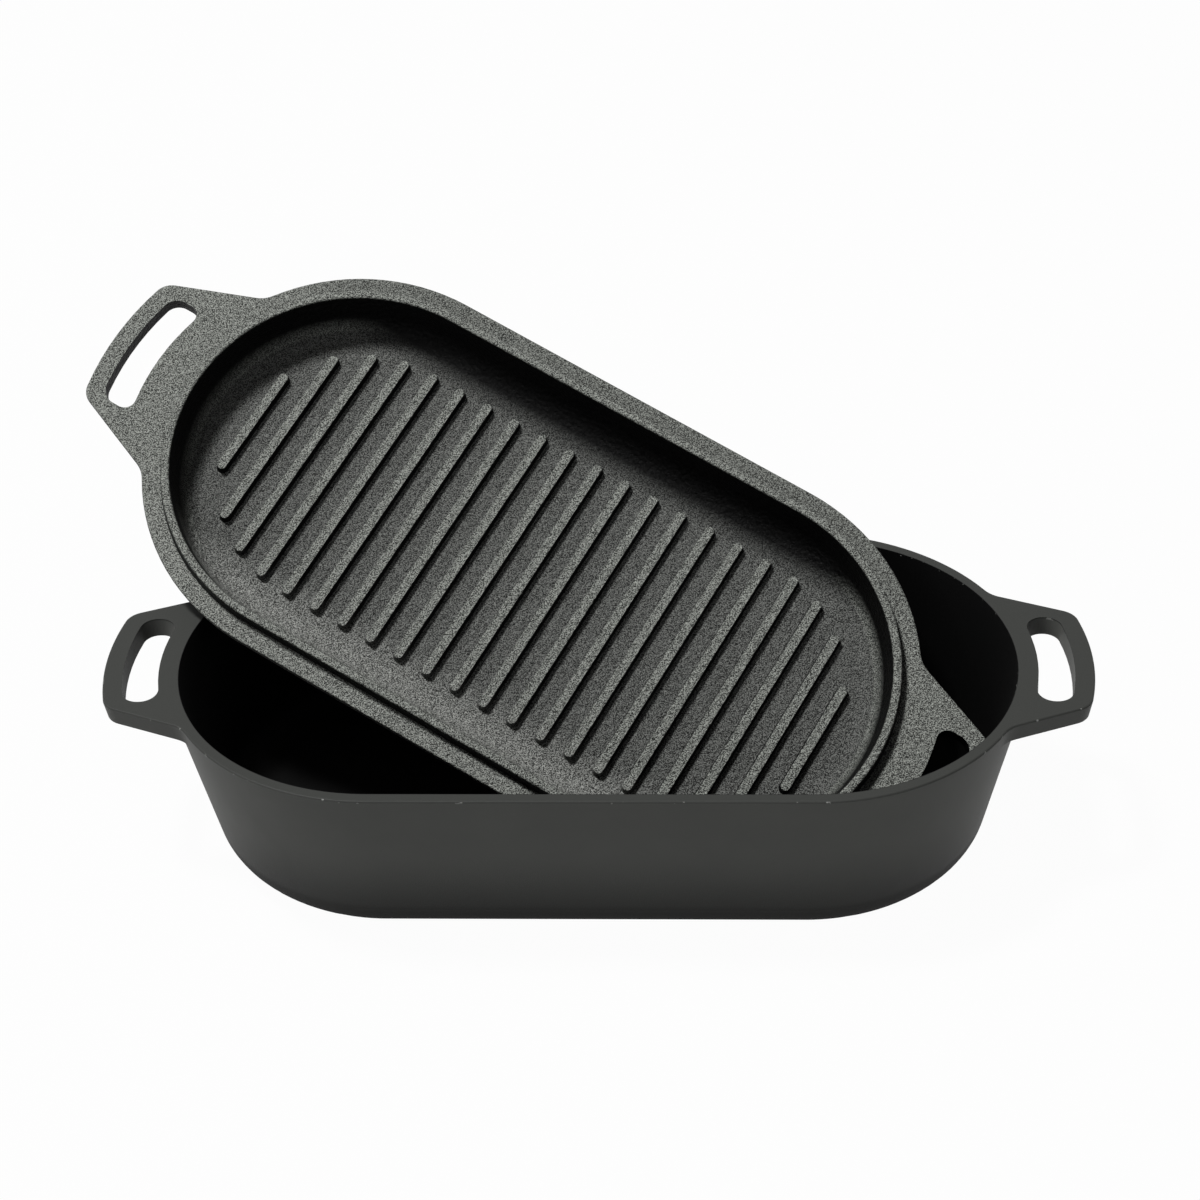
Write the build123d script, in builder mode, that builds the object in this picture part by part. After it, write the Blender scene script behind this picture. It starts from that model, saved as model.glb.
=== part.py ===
from build123d import *
from math import radians, sqrt, tan
import os

# A stadium-shaped roasting pot and its griddle lid, both cast in iron, in millimetres.
# The origin is the centre of the pot's flat base, +X runs along the pot and +Z is up.
# The lid lies askew in the open pot with its griddle side up, as it was left there.

# Pot body
pot_length = 400.0
pot_width = 204.0
pot_height = 92.0
pot_wall = 5.5
pot_wall_foot = 4.5
pot_floor = 5.0
side_inset = 15.5
end_inset = 18.3
base_round = 20.0
inner_round = 15.0
rim_round = 0.8

# Handles, cast in one with the rim of each piece
pot_handle_reach = 29.5
lid_handle_reach = 36.6
pot_handle_thickness = 9.5
handle_tip_width = 71.0
handle_flare_angle = 21.5
handle_corner = 10.0
handle_blend = 14.0
handle_draft_angle = 8.0

# Finger slots, one through each handle
slot_bar = 9.1
slot_width = 16.6
slot_length = 63.5
pot_slot_inner_round = 8.0
lid_slot_inner_round = 5.5
slot_outer_round = 8.0
slot_draft_angle = 3.0

# Griddle lid
lid_overhang = 1.0
lid_plate = 7.0
lip_clearance = 2.7
lip_width = 5.0
lip_height = 6.5
lip_draft_angle = 8.0
lip_round = 1.2
basin_depth = 18.0
basin_draft_angle = 10.0
basin_wall = 3.5
basin_inner_round = 13.0
basin_outer_round = 18.0
rib_pitch = 15.9
rib_width = 4.5
rib_height = 3.8
rib_draft_angle = 12.0
rib_margin = 21.0
rib_shortest = 24.0
rib_root = 1.0

# Where the lid lies: its turn in plan, the fall of its long axis and its tip to the front.
# It leans on the pot's left rim and right end, and a rest gap keeps the two castings apart.
lid_turn_angle = -25.1
lid_fall_angle = 17.8
lid_tip_angle = 28.4
lid_x = -34.6
lid_y = 53.3
lid_start = 60.0
rest_gap = 0.3
rest_tolerance = 0.1

# Shared by both castings: the rim is a stadium, two half circles joined by straight sides
end_spacing = pot_length - pot_width
rim_radius = pot_width / 2
flange_radius = rim_radius + lid_overhang


def handled_outline(plane, spacing, radius, tip_radius, tip_width):
    """Stadium with a flared handle at each end, its tip an arc about the end's own centre."""
    half_spacing = end_spacing / 2
    corner_x = half_spacing + sqrt(tip_radius**2 - (tip_width / 2) ** 2)
    root_x = half_spacing + radius / 2
    root_y = tip_width / 2 + (corner_x - root_x) * tan(radians(handle_flare_angle))
    with BuildSketch(plane) as outline:
        with BuildLine():
            lower = Line((root_x, -root_y), (corner_x, -tip_width / 2))
            tip = ThreePointArc(
                lower @ 1, (half_spacing + tip_radius, 0), (corner_x, tip_width / 2)
            )
            upper = Line(tip @ 1, (root_x, root_y))
            Line(upper @ 1, lower @ 0)
        make_face()
        fillet(outline.vertices().group_by(Axis.X)[-1], handle_corner)
        mirror(about=Plane.YZ)
        SlotCenterToCenter(spacing, 2 * radius)
        # The flanks meet the stadium between its straight sides and the handles' corners
        joints = outline.vertices().filter_by(
            lambda v: spacing / 2 + handle_corner < abs(v.X) < half_spacing + radius
        )
        fillet(joints, handle_blend)
    return outline.sketch


def cut_finger_slots(top, tip_radius, thickness, inner_round):
    """Cut one curved, drafted slot through each handle, a bar's width inside its tip."""
    half_spacing = end_spacing / 2
    for side in (-1, 1):
        sections = []
        for depth in (0, thickness):
            inset = depth * tan(radians(slot_draft_angle))
            outer_radius = tip_radius - slot_bar - inset
            inner_radius = tip_radius - slot_bar - slot_width + inset
            end_y = slot_length / 2 - inset
            inner_x = side * (half_spacing + sqrt(inner_radius**2 - end_y**2))
            outer_x = side * (half_spacing + sqrt(outer_radius**2 - end_y**2))
            inner_middle = side * (half_spacing + inner_radius)
            outer_middle = side * (half_spacing + outer_radius)
            with BuildSketch(Plane.XY.offset(top - depth)) as section:
                with BuildLine():
                    inner = ThreePointArc((inner_x, -end_y), (inner_middle, 0), (inner_x, end_y))
                    outer = ThreePointArc((outer_x, -end_y), (outer_middle, 0), (outer_x, end_y))
                    Line(inner @ 0, outer @ 0)
                    Line(inner @ 1, outer @ 1)
                make_face()
                inner_corners = section.vertices().sort_by(lambda v: abs(v.X))[:2]
                fillet(inner_corners, inner_round - inset)
                outer_corners = section.vertices().sort_by(lambda v: abs(v.X))[-2:]
                fillet(outer_corners, slot_outer_round - inset)
            sections.append(section.sketch)
        loft(sections, ruled=True, mode=Mode.SUBTRACT)


# Inside of the pot: it follows the outside, with a wall that thins a little to the foot
floor_share = (pot_height - pot_floor) / pot_height
floor_radius = rim_radius - side_inset * floor_share - pot_wall_foot
floor_spacing = end_spacing - 2 * (end_inset - side_inset) * floor_share
with BuildPart() as cavity:
    with BuildSketch(Plane.XY.offset(pot_floor)):
        SlotCenterToCenter(floor_spacing, 2 * floor_radius)
    with BuildSketch(Plane.XY.offset(pot_height)):
        SlotCenterToCenter(end_spacing, 2 * (rim_radius - pot_wall))
    loft(ruled=True)
    fillet(cavity.faces().sort_by(Axis.Z)[0].edges(), inner_round)

# Pot: a drafted bowl whose top band is cast out into the two handles
band_share = pot_handle_thickness / pot_height
band_plane = Plane.XY.offset(pot_height - pot_handle_thickness)
band_radius = rim_radius - side_inset * band_share
band_spacing = end_spacing - 2 * (end_inset - side_inset) * band_share
foot_radius = rim_radius - side_inset
foot_spacing = end_spacing - 2 * (end_inset - side_inset)
pot_tip_radius = rim_radius + pot_handle_reach
handle_inset = pot_handle_thickness * tan(radians(handle_draft_angle))
with BuildPart() as pot:
    rim_outline = handled_outline(
        Plane.XY.offset(pot_height), end_spacing, rim_radius, pot_tip_radius, handle_tip_width
    )
    band_outline = handled_outline(
        band_plane,
        band_spacing,
        band_radius,
        pot_tip_radius - handle_inset,
        handle_tip_width - 2 * handle_inset,
    )
    loft([rim_outline, band_outline], ruled=True)
    fillet(pot.faces().sort_by(Axis.Z)[-1].edges(), rim_round)
    with BuildSketch(band_plane):
        SlotCenterToCenter(band_spacing, 2 * band_radius)
    with BuildSketch(Plane.XY):
        SlotCenterToCenter(foot_spacing, 2 * foot_radius)
    loft(ruled=True)
    fillet(pot.faces().sort_by(Axis.Z)[0].edges(), base_round)
    add(cavity.part, mode=Mode.SUBTRACT)
    cut_finger_slots(pot_height, pot_tip_radius, pot_handle_thickness, pot_slot_inner_round)

# Hollow of the lid, from the top of its lip down to the griddle floor
lip_radius = rim_radius - pot_wall - lip_clearance
basin_radius = lip_radius - lip_width
with BuildPart() as basin:
    with BuildSketch(Plane.XY.offset(lip_height)):
        SlotCenterToCenter(end_spacing, 2 * basin_radius)
    extrude(amount=-(lip_height + basin_depth), taper=basin_draft_angle)
    fillet(basin.faces().sort_by(Axis.Z)[0].edges(), basin_inner_round)

# Outside of the lid, modelled level with the top face of its flange on the XY plane:
# the basin's rounded underside, and the flat plate that it hangs from
lid_tip_radius = flange_radius + lid_handle_reach
hanging_radius = basin_radius + basin_wall - lip_height * tan(radians(basin_draft_angle))
with BuildPart() as lid_outside:
    with BuildSketch(Plane.XY.offset(-rim_round)):
        SlotCenterToCenter(end_spacing, 2 * hanging_radius)
    extrude(amount=-(basin_depth + basin_wall - rim_round), taper=basin_draft_angle)
    fillet(lid_outside.faces().sort_by(Axis.Z)[0].edges(), basin_outer_round)
    plate = handled_outline(
        Plane.XY, end_spacing, flange_radius, lid_tip_radius, handle_tip_width
    )
    extrude(plate, amount=-lid_plate, taper=handle_draft_angle)
    fillet(lid_outside.faces().sort_by(Axis.Z)[-1].edges(), rim_round)

# Griddle lid
rib_field = basin_radius - rib_margin
last_rib_x = end_spacing / 2 + sqrt(rib_field**2 - (rib_shortest / 2) ** 2)
ribs_each_side = int(last_rib_x / rib_pitch)
with BuildPart() as lid:
    add(lid_outside.part)
    # A lip round the basin's mouth locates the lid when it covers the pot the other way up
    with BuildSketch(Plane.XY):
        SlotCenterToCenter(end_spacing, 2 * lip_radius)
    extrude(amount=lip_height, taper=lip_draft_angle)
    add(basin.part, mode=Mode.SUBTRACT)
    fillet(lid.faces().sort_by(Axis.Z)[-1].edges(), lip_round)
    cut_finger_slots(0, lid_tip_radius, lid_plate, lid_slot_inner_round)
    # Ribs across the griddle, each as long as the rounded field lets it be
    with BuildSketch(Plane.XY.offset(rib_height - basin_depth)):
        for index in range(-ribs_each_side, ribs_each_side + 1):
            x = index * rib_pitch
            past_centre = max(abs(x) - end_spacing / 2, 0)
            reach = sqrt(rib_field**2 - past_centre**2)
            with Locations((x, 0)):
                SlotOverall(2 * reach, rib_width, rotation=90)
    extrude(amount=-(rib_height + rib_root), taper=-rib_draft_angle)

# Lower the tilted lid from above the rim until its outside is a rest gap from the pot
lid_tilt = (lid_tip_angle, lid_fall_angle, lid_turn_angle)
lid_z = pot_height + lid_start
too_low = pot_height
while lid_z - too_low > rest_tolerance:
    middle = (lid_z + too_low) / 2
    leaning = Location((lid_x, lid_y, middle), lid_tilt, Extrinsic.XYZ) * lid_outside.part
    if leaning.distance_to(pot.part) > rest_gap:
        lid_z = middle
    else:
        too_low = middle
griddle_lid = Location((lid_x, lid_y, lid_z), lid_tilt, Extrinsic.XYZ) * lid.part

os.makedirs("parts", exist_ok=True)
pot.part.label = "pot"
griddle_lid.label = "griddle_lid"
export_step(pot.part, "parts/pot.step")
export_step(griddle_lid, "parts/griddle_lid.step")
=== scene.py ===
from math import radians

import bpy
from mathutils import Matrix, Vector

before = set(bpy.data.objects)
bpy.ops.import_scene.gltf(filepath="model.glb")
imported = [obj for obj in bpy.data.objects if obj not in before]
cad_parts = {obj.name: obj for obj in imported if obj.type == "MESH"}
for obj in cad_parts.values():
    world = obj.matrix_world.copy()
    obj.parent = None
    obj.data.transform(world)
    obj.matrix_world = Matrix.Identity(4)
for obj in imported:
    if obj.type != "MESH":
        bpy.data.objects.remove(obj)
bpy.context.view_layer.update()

bpy.ops.object.select_all(action="DESELECT")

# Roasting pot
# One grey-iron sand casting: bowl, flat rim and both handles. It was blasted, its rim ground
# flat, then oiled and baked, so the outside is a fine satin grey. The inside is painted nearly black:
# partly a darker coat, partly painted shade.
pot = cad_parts["pot"]
pot_end_spacing = 0.196
pot_rim_radius = 0.102
pot_rim_height = 0.092
pot_wall = 0.0055
pot_side_lean = 0.0155
inner_edge_margin = 0.0002

# Heights above the base between which the foot's painted shade and its duller coat give way to the
# side
foot_shade_top = 0.06
foot_gloss_bottom = 0.005
foot_gloss_top = 0.02

# Depths below the top of the rim: of the ground skin, and of the band on the rounded edge that takes
# the chips and painted glints
ground_skin_bottom = 0.0009
ground_skin_top = 0.0003
chip_and_glint_band_depth = 0.0006
chip_and_glint_band_half_width = 0.0005

# Patterns, as repeats to the metre. The blasted grain is 0.8 mm wide, coarser than the real
# 0.2 mm, which would be too fine to show. The coat's clouds are 36 mm wide, the edge's chips and
# painted glints 5 mm apart.
blasted_grains = 1300.0
coat_clouds = 28.0
edge_chips_and_glints = 210.0

coat_dark = "#494a48"
coat_light = "#525350"
# Painted shade at the foot
foot_painted_shade = "#050505"
coat_ground = "#2d2e2c"
# Painted shade inside, over a coat a little darker
inside_painted_shade = "#030303"
# Chips in the coat and painted glints on the rim's edge
chip_and_glint_grey = "#7c7d7a"


def linear(hex_colour):
    """Linear RGBA of an sRGB hex colour."""
    channels = [int(hex_colour[i : i + 2], 16) / 255 for i in (1, 3, 5)]
    return [c / 12.92 if c <= 0.04045 else ((c + 0.055) / 1.055) ** 2.4 for c in channels] + [1.0]


def add_node(owner, kind, settings=None, links=None, **inputs):
    """Add a node to a material or the world, with its settings and its links from sockets.

    Other inputs are values, given by the socket's name, or as _6 by its number.
    """
    new = owner.node_tree.nodes.new(kind)
    for name, value in (settings or {}).items():
        setattr(new, name, value)
    for name, value in inputs.items():
        key = int(name[1:]) if name[0] == "_" else name.replace("_", " ")
        new.inputs[key].default_value = value
    for key, socket in (links or {}).items():
        owner.node_tree.links.new(socket, new.inputs[key])
    return new


def blank_material(name):
    """New material with an empty node tree."""
    material = bpy.data.materials.new(name)
    material.use_nodes = True
    material.node_tree.nodes.clear()
    return material


# Seasoned cast iron, fine blasted: baked oil covers the metal, so it is a dark coat with hardly
# any gloss, and the fine grain under it spreads what gloss there is into a soft satin.
seasoned = blank_material("seasoned_cast_iron_fine_blasted")
place = add_node(seasoned, "ShaderNodeTexCoord").outputs["Object"]
axes = add_node(seasoned, "ShaderNodeSeparateXYZ", links={"Vector": place})
grain = add_node(
    seasoned,
    "ShaderNodeTexNoise",
    links={"Vector": place},
    Scale=blasted_grains,
    Detail=3.0,
    Roughness=0.6,
)
clouds = add_node(
    seasoned,
    "ShaderNodeTexNoise",
    links={"Vector": place},
    Scale=coat_clouds,
    Detail=4.0,
    Roughness=0.55,
)

# The inside is all that lies nearer to the pot's middle line than a surface within its wall.
# At the foot that surface is halfway through the wall, and at the rim it meets the inner edge.
abs_x = add_node(seasoned, "ShaderNodeMath", {"operation": "ABSOLUTE"}, {0: axes.outputs["X"]})
past_straight = add_node(
    seasoned,
    "ShaderNodeMath",
    {"operation": "SUBTRACT"},
    {0: abs_x.outputs[0]},
    _1=pot_end_spacing / 2,
)
past_straight = add_node(
    seasoned, "ShaderNodeMath", {"operation": "MAXIMUM"}, {0: past_straight.outputs[0]}, _1=0.0
)
plan = add_node(
    seasoned,
    "ShaderNodeCombineXYZ",
    links={"X": past_straight.outputs[0], "Y": axes.outputs["Y"]},
)
from_middle = add_node(
    seasoned, "ShaderNodeVectorMath", {"operation": "LENGTH"}, {0: plan.outputs[0]}
)
within_wall = add_node(
    seasoned,
    "ShaderNodeMapRange",
    links={"Value": axes.outputs["Z"]},
    From_Min=0.0,
    From_Max=pot_rim_height,
    To_Min=pot_rim_radius - pot_side_lean - pot_wall / 2,
    To_Max=pot_rim_radius - pot_wall + inner_edge_margin,
)
inside = add_node(
    seasoned,
    "ShaderNodeMath",
    {"operation": "LESS_THAN"},
    {0: from_middle.outputs["Value"], 1: within_wall.outputs[0]},
)

# Painted shade: the coat is painted darker towards the foot, where shade falls round the rounded
# base, and it is duller there
clear_of_foot_shade = add_node(
    seasoned,
    "ShaderNodeMapRange",
    {"interpolation_type": "SMOOTHSTEP"},
    {"Value": axes.outputs["Z"]},
    From_Min=0.0,
    From_Max=foot_shade_top,
)
satin = add_node(
    seasoned,
    "ShaderNodeMapRange",
    links={"Value": axes.outputs["Z"]},
    From_Min=foot_gloss_bottom,
    From_Max=foot_gloss_top,
    To_Min=1.0,
    To_Max=0.55,
)

# The rim and the handle tops were ground flat, and the coat is darker on the smooth iron
ground = add_node(
    seasoned,
    "ShaderNodeMapRange",
    links={"Value": axes.outputs["Z"]},
    From_Min=pot_rim_height - ground_skin_bottom,
    From_Max=pot_rim_height - ground_skin_top,
)
tone = add_node(
    seasoned,
    "ShaderNodeMix",
    {"data_type": "RGBA"},
    {0: clouds.outputs["Fac"]},
    _6=linear(coat_dark),
    _7=linear(coat_light),
)
tone = add_node(
    seasoned,
    "ShaderNodeMix",
    {"data_type": "RGBA"},
    {0: clear_of_foot_shade.outputs[0], 7: tone.outputs[2]},
    _6=linear(foot_painted_shade),
)
tone = add_node(
    seasoned,
    "ShaderNodeMix",
    {"data_type": "RGBA"},
    {0: ground.outputs[0], 6: tone.outputs[2]},
    _7=linear(coat_ground),
)
# Painted shade: the whole inside is painted nearly black, partly a darker coat and partly the shade
# that fills the bowl
tone = add_node(
    seasoned,
    "ShaderNodeMix",
    {"data_type": "RGBA"},
    {0: inside.outputs[0], 6: tone.outputs[2]},
    _7=linear(inside_painted_shade),
)

# Lighter spots here and there along the rim's rounded outer edge: partly chips in the coat from
# handling, partly painted glints that the edge catches
chip_and_glint_noise = add_node(
    seasoned,
    "ShaderNodeTexNoise",
    links={"Vector": place},
    Scale=edge_chips_and_glints,
    Detail=2.0,
    Roughness=0.6,
)
chip_and_glint_spots = add_node(
    seasoned,
    "ShaderNodeMapRange",
    links={"Value": chip_and_glint_noise.outputs["Fac"]},
    From_Min=0.64,
    From_Max=0.67,
)
on_edge = add_node(
    seasoned,
    "ShaderNodeMath",
    {"operation": "COMPARE"},
    {0: axes.outputs["Z"]},
    _1=pot_rim_height - chip_and_glint_band_depth,
    _2=chip_and_glint_band_half_width,
)
chip_and_glint_mask = add_node(
    seasoned,
    "ShaderNodeMath",
    {"operation": "MULTIPLY"},
    {0: chip_and_glint_spots.outputs[0], 1: on_edge.outputs[0]},
)
tone = add_node(
    seasoned,
    "ShaderNodeMix",
    {"data_type": "RGBA"},
    {0: chip_and_glint_mask.outputs[0], 6: tone.outputs[2]},
    _7=linear(chip_and_glint_grey),
)
relief = add_node(
    seasoned,
    "ShaderNodeBump",
    links={"Height": grain.outputs["Fac"]},
    Strength=0.35,
    Distance=0.0002,
)
surface = add_node(
    seasoned,
    "ShaderNodeBsdfPrincipled",
    links={
        "Base Color": tone.outputs[2],
        "Roughness": satin.outputs[0],
        "Normal": relief.outputs[0],
    },
    Specular_IOR_Level=0.12,
)
add_node(seasoned, "ShaderNodeOutputMaterial", links={"Surface": surface.outputs[0]})
pot.data.materials.clear()
pot.data.materials.append(seasoned)

# Griddle lid
# One grey-iron sand casting: flange, locating lip, basin, ribs and both handles. Its sand
# grain is coarser than the pot's, and the flange and rib tops are rubbed lighter than the floor.
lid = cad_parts["griddle_lid"]
lid_place = Vector((-0.0346, 0.0533, 0.1075))
lid_turn = Matrix.Rotation(radians(-25.1), 3, "Z")
lid_fall = Matrix.Rotation(radians(17.8), 3, "Y")
lid_tip = Matrix.Rotation(radians(28.4), 3, "X")
lid_lean = lid_turn @ lid_fall @ lid_tip

# Places on the lid as if it lay level, from its middle and the top of its flange: where the rub
# on the rib tops begins, where the basin begins, and where the basin's two long fillets are
rubbed_bottom = -0.0158
rubbed_top = -0.0145
basin_edge_top = 0.001
basin_edge_bottom = -0.004
far_fillet_start = 0.066
far_fillet_middle = 0.078
near_fillet_start = -0.058
near_fillet_middle = -0.076

# Patterns, as repeats to the metre. The sand's grain is 0.5 mm wide, coarser than the real
# 0.3 mm, so that it shows. The pebbles are 2 mm wide.
sand_grains = 1900.0
sand_pebbles = 480.0

floor_grey = "#4a4b49"
rubbed_grey = "#666864"
# Painted shade on the steep faces
steep_painted_shade = "#030303"
# Painted shade on the far fillet
far_fillet_painted_shade = "#030303"
# Painted light on the near fillet
near_fillet_painted_light = "#6c6d6a"

# Sand-cast iron with a coarse grain: each grain is a bump, and its colour is lighter on top and
# darker at the foot, partly oil worn off the tops and partly painted glints and shade, so the eye
# sees an even sparkle of greys, with hardly any gloss from the thin baked coat.
sand_cast = blank_material("sand_cast_iron_coarse_grain")
place = add_node(sand_cast, "ShaderNodeTexCoord").outputs["Object"]
level = add_node(
    sand_cast,
    "ShaderNodeMapping",
    {"vector_type": "TEXTURE"},
    {"Vector": place},
    Location=lid_place,
    Rotation=lid_lean.to_euler(),
)
level_axes = add_node(sand_cast, "ShaderNodeSeparateXYZ", links={"Vector": level.outputs[0]})
grain = add_node(
    sand_cast,
    "ShaderNodeTexNoise",
    links={"Vector": place},
    Scale=sand_grains,
    Detail=1.0,
    Roughness=0.6,
)

# Only faces that look up from the lid show the floor and rubbed greys; steep ones are painted black
# as shade: the rib sides, the lip's outside and the basin walls
normal = add_node(sand_cast, "ShaderNodeTexCoord").outputs["Normal"]
facing = add_node(
    sand_cast,
    "ShaderNodeVectorMath",
    {"operation": "DOT_PRODUCT"},
    {0: normal},
    _1=lid_lean.col[2],
)
looks_up = add_node(
    sand_cast,
    "ShaderNodeMapRange",
    links={"Value": facing.outputs["Value"]},
    From_Min=0.3,
    From_Max=0.92,
)
rubbed = add_node(
    sand_cast,
    "ShaderNodeMapRange",
    {"interpolation_type": "SMOOTHSTEP"},
    {"Value": level_axes.outputs["Z"]},
    From_Min=rubbed_bottom,
    From_Max=rubbed_top,
)
tone = add_node(
    sand_cast,
    "ShaderNodeMix",
    {"data_type": "RGBA"},
    {0: rubbed.outputs[0]},
    _6=linear(floor_grey),
    _7=linear(rubbed_grey),
)
tone = add_node(
    sand_cast,
    "ShaderNodeMix",
    {"data_type": "RGBA"},
    {0: looks_up.outputs[0], 7: tone.outputs[2]},
    _6=linear(steep_painted_shade),
)

# Painted shade and light: in the basin, the fillet of the far long side is painted darker than the
# floor, as shade, and the near one lighter, as light
in_basin = add_node(
    sand_cast,
    "ShaderNodeMapRange",
    links={"Value": level_axes.outputs["Z"]},
    From_Min=basin_edge_top,
    From_Max=basin_edge_bottom,
)
for fillet_start, fillet_middle, strongest, painted_fillet_tone in (
    (far_fillet_start, far_fillet_middle, 1.0, far_fillet_painted_shade),
    (near_fillet_start, near_fillet_middle, 0.85, near_fillet_painted_light),
):
    across = add_node(
        sand_cast,
        "ShaderNodeMapRange",
        links={"Value": level_axes.outputs["Y"]},
        From_Min=fillet_start,
        From_Max=fillet_middle,
        To_Max=strongest,
    )
    on_fillet = add_node(
        sand_cast,
        "ShaderNodeMath",
        {"operation": "MULTIPLY"},
        {0: across.outputs[0], 1: in_basin.outputs[0]},
    )
    tone = add_node(
        sand_cast,
        "ShaderNodeMix",
        {"data_type": "RGBA"},
        {0: on_fillet.outputs[0], 6: tone.outputs[2]},
        _7=linear(painted_fillet_tone),
    )

# The grain's tops are painted lighter and its pits darker: partly oil worn off the tops, partly
# painted glints and shade
sparkle = add_node(
    sand_cast,
    "ShaderNodeMapRange",
    links={"Value": grain.outputs["Fac"]},
    From_Min=0.43,
    From_Max=0.57,
    To_Min=0.15,
    To_Max=2.0,
)
grained_tone = add_node(
    sand_cast,
    "ShaderNodeVectorMath",
    {"operation": "SCALE"},
    {0: tone.outputs[2], "Scale": sparkle.outputs[0]},
)

# Two sizes of relief: pebbles, and on them the sand's own grain
pebbles = add_node(
    sand_cast,
    "ShaderNodeTexNoise",
    links={"Vector": place},
    Scale=sand_pebbles,
    Detail=1.0,
    Roughness=0.5,
)
pebbled = add_node(
    sand_cast,
    "ShaderNodeBump",
    links={"Height": pebbles.outputs["Fac"]},
    Strength=1.0,
    Distance=0.0011,
)
relief = add_node(
    sand_cast,
    "ShaderNodeBump",
    links={"Height": grain.outputs["Fac"], "Normal": pebbled.outputs[0]},
    Strength=1.0,
    Distance=0.0005,
)
surface = add_node(
    sand_cast,
    "ShaderNodeBsdfPrincipled",
    links={"Base Color": grained_tone.outputs[0], "Normal": relief.outputs[0]},
    Roughness=0.45,
    Specular_IOR_Level=0.06,
)
add_node(sand_cast, "ShaderNodeOutputMaterial", links={"Surface": surface.outputs[0]})
lid.data.materials.clear()
lid.data.materials.append(sand_cast)

# Table top
# A seamless sheet of matt white paper. The camera and mirror-like rays see it at paper white,
# and a small share of its matt surface still takes the castings' own soft shadow.
table_radius = 5.0
table_drop = 0.0002
paper_grey = "#A2A2A2"
paper_white_share = 0.97


def seen_not_lit(owner):
    """Socket that is 1 for rays that show the background, and 0 for rays that light things."""
    rays = add_node(owner, "ShaderNodeLightPath")
    seen = add_node(
        owner,
        "ShaderNodeMath",
        {"operation": "MAXIMUM"},
        {0: rays.outputs["Is Camera Ray"], 1: rays.outputs["Is Glossy Ray"]},
    )
    seen = add_node(
        owner,
        "ShaderNodeMath",
        {"operation": "MAXIMUM"},
        {0: seen.outputs[0], 1: rays.outputs["Is Transmission Ray"]},
    )
    return seen.outputs[0]


bpy.ops.mesh.primitive_circle_add(
    vertices=96, radius=table_radius, fill_type="NGON", location=(0, 0, -table_drop)
)
floor = bpy.context.object
floor.name = "studio_floor"
paper = blank_material("white_paper")
matt = add_node(paper, "ShaderNodeBsdfDiffuse", Color=linear(paper_grey))
white = add_node(paper, "ShaderNodeEmission", Strength=1.0)
white_share = add_node(
    paper, "ShaderNodeMath", {"operation": "MULTIPLY"}, {0: seen_not_lit(paper)}, _1=paper_white_share
)
surface = add_node(
    paper,
    "ShaderNodeMixShader",
    links={0: white_share.outputs[0], 1: matt.outputs[0], 2: white.outputs[0]},
)
add_node(paper, "ShaderNodeOutputMaterial", links={"Surface": surface.outputs[0]})
floor.data.materials.append(paper)

# Room and soft boxes
# The room is seen as white and gives only a breath of light. The key soft box hangs high over
# the table, to the left, and a weak one stands low in front and lights the pot's long side.
room_fill = 0.04
lamp_target = Vector((0, 0, 0.06))
room = bpy.data.worlds.new("studio_room")
bpy.context.scene.world = room
room.use_nodes = True
room.node_tree.nodes.clear()
strength = add_node(
    room,
    "ShaderNodeMapRange",
    links={"Value": seen_not_lit(room)},
    To_Min=room_fill,
    To_Max=1.0,
)
backdrop = add_node(
    room, "ShaderNodeBackground", links={"Strength": strength.outputs[0]}, Color=linear("#FFFFFF")
)
add_node(room, "ShaderNodeOutputWorld", links={"Surface": backdrop.outputs[0]})
for name, at, width, watts in (
    ("key_softbox", Vector((-1.4, 0.12, 4.0)), 0.65, 244.0),
    ("front_softbox", Vector((-0.7, -1.8, 0.6)), 1.0, 6.6),
):
    bpy.ops.object.light_add(type="AREA", location=at)
    lamp = bpy.context.object
    lamp.name = name
    lamp.data.size = width
    lamp.data.energy = watts
    lamp.rotation_euler = (lamp_target - at).to_track_quat("-Z", "Y").to_euler()

# Camera
# It stands in front of the pot's long side and looks down on it at about 36 degrees. Its lens
# and shift are kept as pixels of the square picture, which is how they were found.
picture_width = 1200
lens_pixels = 2648.90
shift_right_pixels = 11.454
shift_up_pixels = 3.834
sensor_width = 36.0
camera_azimuth = radians(3.0825)
camera_elevation = radians(36.3668)
camera_roll = radians(-1.9587)
camera_distance = 1.21202
look_at = Vector((-0.00265, 0.0, 0.12381))
upright = radians(90)
heading = Matrix.Rotation(camera_azimuth, 4, "Z") @ Matrix.Rotation(
    upright - camera_elevation, 4, "X"
)
bpy.ops.object.camera_add()
camera = bpy.context.object
camera.data.sensor_width = sensor_width
camera.data.lens = sensor_width * lens_pixels / picture_width
camera.data.shift_x = shift_right_pixels / picture_width
camera.data.shift_y = shift_up_pixels / picture_width
camera.matrix_world = (
    Matrix.Translation(look_at + heading @ Vector((0, 0, camera_distance)))
    @ heading
    @ Matrix.Rotation(camera_roll, 4, "Z")
)
bpy.context.scene.camera = camera
bpy.context.scene.view_settings.view_transform = "Standard"
